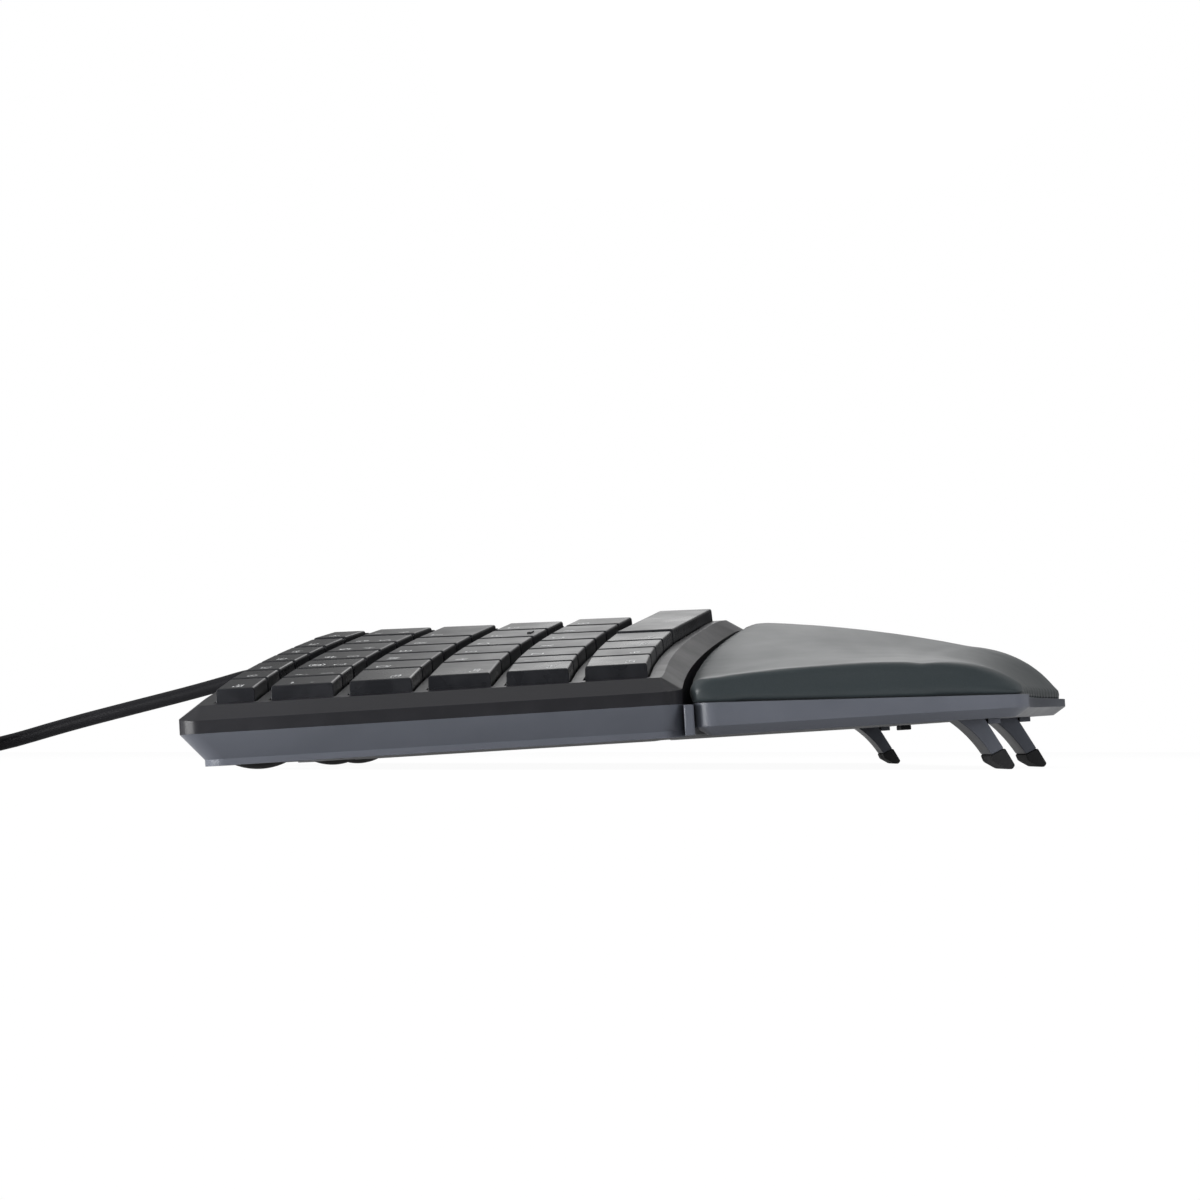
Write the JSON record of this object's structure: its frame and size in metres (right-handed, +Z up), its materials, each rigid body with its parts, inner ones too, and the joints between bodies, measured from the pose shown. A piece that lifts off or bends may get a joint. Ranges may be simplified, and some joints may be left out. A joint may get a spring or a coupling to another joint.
{
  "type": "ergonomic keyboard",
  "caption": "Tented, curved-row ergonomic computer keyboard with a cushioned palm rest, flip-out front legs, number pad and coiled lead.",
  "frame": {"origin": "desk level under the middle of the keyboard's footprint, measured without its lead", "axes": "+X along the keyboard to the user's right, +Y away from the user to the rear, +Z up"},
  "size_m": [0.4594, 0.3827, 0.0438],
  "materials": {
    "deck_plastic": "fine satin grain, near black",
    "base_plastic": "smooth satin, blue-grey anthracite",
    "key_plastic": "fine satin grain, near black, with printed white legends",
    "pad_cover": "soft satin leather-like cover over foam",
    "inner_plastic": "plain moulded",
    "dome_rubber": "translucent grey silicone",
    "membrane_film": "clear polyester film with printed tracks",
    "sheet_steel": "zinc plated sheet",
    "board_laminate": "green solder resist",
    "lens_plastic": "clear moulded lens",
    "screw_steel": "zinc plated",
    "foot_rubber": "soft matt rubber",
    "cord_jacket": "smooth flexible jacket",
    "tie_plastic": "smooth strap",
    "plug_metal": "nickel plated sheet",
    "tongue_plastic": "white moulded"
  },
  "bodies": {
    "keyboard": {"top_case": "deck_plastic", "bottom_case": "base_plastic", "palm_rest_base": "base_plastic", "palm_rest_pad": "pad_cover", "guide_plate": "inner_plastic", "dome_sheet": "dome_rubber", "membrane": "membrane_film", "back_plate": "sheet_steel", "controller_board": "board_laminate", "status_lenses": "lens_plastic", "case_screws": "screw_steel", "palm_rest_screws": "screw_steel", "left_rear_foot": "foot_rubber", "middle_rear_foot": "foot_rubber", "right_rear_foot": "foot_rubber", "palm_rest_strip": "foot_rubber", "strain_relief": "cord_jacket", "cord": "cord_jacket", "cord_coil": "cord_jacket", "cord_tie": "tie_plastic", "plug_grip": "cord_jacket", "plug_shell": "plug_metal", "plug_tongue": "tongue_plastic"},
    "esc_key": {"esc_key": "key_plastic"},
    "tab_key": {"tab_key": "key_plastic"},
    "caps_lock_key": {"caps_lock_key": "key_plastic"},
    "left_shift_key": {"left_shift_key": "key_plastic"},
    "left_control_key": {"left_control_key": "key_plastic"},
    "left_space_key": {"left_space_key": "key_plastic"},
    "right_space_key": {"right_space_key": "key_plastic"},
    "backspace_key": {"backspace_key": "key_plastic"},
    "enter_key": {"enter_key": "key_plastic"},
    "right_shift_key": {"right_shift_key": "key_plastic"},
    "left_function_keys": {"left_function_keys": "key_plastic"},
    "left_number_keys": {"left_number_keys": "key_plastic"},
    "left_upper_keys": {"left_upper_keys": "key_plastic"},
    "left_home_keys": {"left_home_keys": "key_plastic"},
    "left_lower_keys": {"left_lower_keys": "key_plastic"},
    "left_modifier_keys": {"left_modifier_keys": "key_plastic"},
    "right_function_keys": {"right_function_keys": "key_plastic"},
    "right_number_keys": {"right_number_keys": "key_plastic"},
    "right_upper_keys": {"right_upper_keys": "key_plastic"},
    "right_home_keys": {"right_home_keys": "key_plastic"},
    "right_lower_keys": {"right_lower_keys": "key_plastic"},
    "right_modifier_keys": {"right_modifier_keys": "key_plastic"},
    "system_keys": {"system_keys": "key_plastic"},
    "editing_keys": {"editing_keys": "key_plastic"},
    "arrow_keys": {"arrow_keys": "key_plastic"},
    "media_keys": {"media_keys": "key_plastic"},
    "pad_top_keys": {"pad_top_keys": "key_plastic"},
    "pad_seven_row_keys": {"pad_seven_row_keys": "key_plastic"},
    "pad_four_row_keys": {"pad_four_row_keys": "key_plastic"},
    "pad_lower_keys": {"pad_lower_keys": "key_plastic"},
    "left_leg": {"left_leg": "base_plastic", "left_leg_tip": "foot_rubber"},
    "centre_leg": {"centre_leg": "base_plastic", "centre_leg_tip": "foot_rubber"},
    "right_leg": {"right_leg": "base_plastic", "right_leg_tip": "foot_rubber"}
  },
  "joints": [
    {"name": "esc_key_press", "type": "slide", "parent": "keyboard", "child": "esc_key", "axis": [0.1278, -0.0611, -0.9899], "range_m": [0, 0.002], "stiffness_N_per_m": 300, "springref_m": -0.0005},
    {"name": "tab_key_press", "type": "slide", "parent": "keyboard", "child": "tab_key", "axis": [0.1278, -0.0611, -0.9899], "range_m": [0, 0.002], "stiffness_N_per_m": 300, "springref_m": -0.0005},
    {"name": "caps_lock_key_press", "type": "slide", "parent": "keyboard", "child": "caps_lock_key", "axis": [0.1278, -0.0611, -0.9899], "range_m": [0, 0.002], "stiffness_N_per_m": 300, "springref_m": -0.0005},
    {"name": "left_shift_key_press", "type": "slide", "parent": "keyboard", "child": "left_shift_key", "axis": [0.1278, -0.0611, -0.9899], "range_m": [0, 0.002], "stiffness_N_per_m": 300, "springref_m": -0.0005},
    {"name": "left_control_key_press", "type": "slide", "parent": "keyboard", "child": "left_control_key", "axis": [0.1278, -0.0611, -0.9899], "range_m": [0, 0.002], "stiffness_N_per_m": 300, "springref_m": -0.0005},
    {"name": "left_space_key_press", "type": "slide", "parent": "keyboard", "child": "left_space_key", "axis": [0.1278, -0.0611, -0.9899], "range_m": [0, 0.002], "stiffness_N_per_m": 300, "springref_m": -0.0005},
    {"name": "right_space_key_press", "type": "slide", "parent": "keyboard", "child": "right_space_key", "axis": [-0.1122, -0.0612, -0.9918], "range_m": [0, 0.002], "stiffness_N_per_m": 300, "springref_m": -0.0005},
    {"name": "backspace_key_press", "type": "slide", "parent": "keyboard", "child": "backspace_key", "axis": [-0.1122, -0.0612, -0.9918], "range_m": [0, 0.002], "stiffness_N_per_m": 300, "springref_m": -0.0005},
    {"name": "enter_key_press", "type": "slide", "parent": "keyboard", "child": "enter_key", "axis": [-0.1122, -0.0612, -0.9918], "range_m": [0, 0.002], "stiffness_N_per_m": 300, "springref_m": -0.0005},
    {"name": "right_shift_key_press", "type": "slide", "parent": "keyboard", "child": "right_shift_key", "axis": [-0.1122, -0.0612, -0.9918], "range_m": [0, 0.002], "stiffness_N_per_m": 300, "springref_m": -0.0005},
    {"name": "left_function_keys_press", "type": "slide", "parent": "keyboard", "child": "left_function_keys", "axis": [0.1278, -0.0611, -0.9899], "range_m": [0, 0.002], "stiffness_N_per_m": 1800, "springref_m": -0.0005},
    {"name": "left_number_keys_press", "type": "slide", "parent": "keyboard", "child": "left_number_keys", "axis": [0.1278, -0.0611, -0.9899], "range_m": [0, 0.002], "stiffness_N_per_m": 2100, "springref_m": -0.0005},
    {"name": "left_upper_keys_press", "type": "slide", "parent": "keyboard", "child": "left_upper_keys", "axis": [0.1278, -0.0611, -0.9899], "range_m": [0, 0.002], "stiffness_N_per_m": 1500, "springref_m": -0.0005},
    {"name": "left_home_keys_press", "type": "slide", "parent": "keyboard", "child": "left_home_keys", "axis": [0.1278, -0.0611, -0.9899], "range_m": [0, 0.002], "stiffness_N_per_m": 1500, "springref_m": -0.0005},
    {"name": "left_lower_keys_press", "type": "slide", "parent": "keyboard", "child": "left_lower_keys", "axis": [0.1278, -0.0611, -0.9899], "range_m": [0, 0.002], "stiffness_N_per_m": 1800, "springref_m": -0.0005},
    {"name": "left_modifier_keys_press", "type": "slide", "parent": "keyboard", "child": "left_modifier_keys", "axis": [0.1278, -0.0611, -0.9899], "range_m": [0, 0.002], "stiffness_N_per_m": 900, "springref_m": -0.0005},
    {"name": "right_function_keys_press", "type": "slide", "parent": "keyboard", "child": "right_function_keys", "axis": [-0.1122, -0.0612, -0.9918], "range_m": [0, 0.002], "stiffness_N_per_m": 2400, "springref_m": -0.0005},
    {"name": "right_number_keys_press", "type": "slide", "parent": "keyboard", "child": "right_number_keys", "axis": [-0.1122, -0.0612, -0.9918], "range_m": [0, 0.002], "stiffness_N_per_m": 1800, "springref_m": -0.0005},
    {"name": "right_upper_keys_press", "type": "slide", "parent": "keyboard", "child": "right_upper_keys", "axis": [-0.1122, -0.0612, -0.9918], "range_m": [0, 0.002], "stiffness_N_per_m": 2100, "springref_m": -0.0005},
    {"name": "right_home_keys_press", "type": "slide", "parent": "keyboard", "child": "right_home_keys", "axis": [-0.1122, -0.0612, -0.9918], "range_m": [0, 0.002], "stiffness_N_per_m": 2100, "springref_m": -0.0005},
    {"name": "right_lower_keys_press", "type": "slide", "parent": "keyboard", "child": "right_lower_keys", "axis": [-0.1122, -0.0612, -0.9918], "range_m": [0, 0.002], "stiffness_N_per_m": 1500, "springref_m": -0.0005},
    {"name": "right_modifier_keys_press", "type": "slide", "parent": "keyboard", "child": "right_modifier_keys", "axis": [-0.1122, -0.0612, -0.9918], "range_m": [0, 0.002], "stiffness_N_per_m": 1200, "springref_m": -0.0005},
    {"name": "system_keys_press", "type": "slide", "parent": "keyboard", "child": "system_keys", "axis": [0, -0.0616, -0.9981], "range_m": [0, 0.002], "stiffness_N_per_m": 900, "springref_m": -0.0005},
    {"name": "editing_keys_press", "type": "slide", "parent": "keyboard", "child": "editing_keys", "axis": [0, -0.0616, -0.9981], "range_m": [0, 0.002], "stiffness_N_per_m": 1800, "springref_m": -0.0005},
    {"name": "arrow_keys_press", "type": "slide", "parent": "keyboard", "child": "arrow_keys", "axis": [0, -0.0616, -0.9981], "range_m": [0, 0.002], "stiffness_N_per_m": 1200, "springref_m": -0.0005},
    {"name": "media_keys_press", "type": "slide", "parent": "keyboard", "child": "media_keys", "axis": [0, -0.0616, -0.9981], "range_m": [0, 0.002], "stiffness_N_per_m": 1200, "springref_m": -0.0005},
    {"name": "pad_top_keys_press", "type": "slide", "parent": "keyboard", "child": "pad_top_keys", "axis": [0, -0.0616, -0.9981], "range_m": [0, 0.002], "stiffness_N_per_m": 1200, "springref_m": -0.0005},
    {"name": "pad_seven_row_keys_press", "type": "slide", "parent": "keyboard", "child": "pad_seven_row_keys", "axis": [0, -0.0616, -0.9981], "range_m": [0, 0.002], "stiffness_N_per_m": 1200, "springref_m": -0.0005},
    {"name": "pad_four_row_keys_press", "type": "slide", "parent": "keyboard", "child": "pad_four_row_keys", "axis": [0, -0.0616, -0.9981], "range_m": [0, 0.002], "stiffness_N_per_m": 900, "springref_m": -0.0005},
    {"name": "pad_lower_keys_press", "type": "slide", "parent": "keyboard", "child": "pad_lower_keys", "axis": [0, -0.0616, -0.9981], "range_m": [0, 0.002], "stiffness_N_per_m": 1800, "springref_m": -0.0005},
    {"name": "left_leg_fold", "type": "hinge", "parent": "keyboard", "child": "left_leg", "pos_m": [-0.19, -0.07713, 0.01477], "axis": [1, 0, 0], "range_deg": [0, 125]},
    {"name": "centre_leg_fold", "type": "hinge", "parent": "keyboard", "child": "centre_leg", "pos_m": [-0.069, -0.09849, 0.01608], "axis": [1, 0, 0], "range_deg": [0, 125]},
    {"name": "right_leg_fold", "type": "hinge", "parent": "keyboard", "child": "right_leg", "pos_m": [0.16, -0.07713, 0.01477], "axis": [1, 0, 0], "range_deg": [0, 125]}
  ]
}
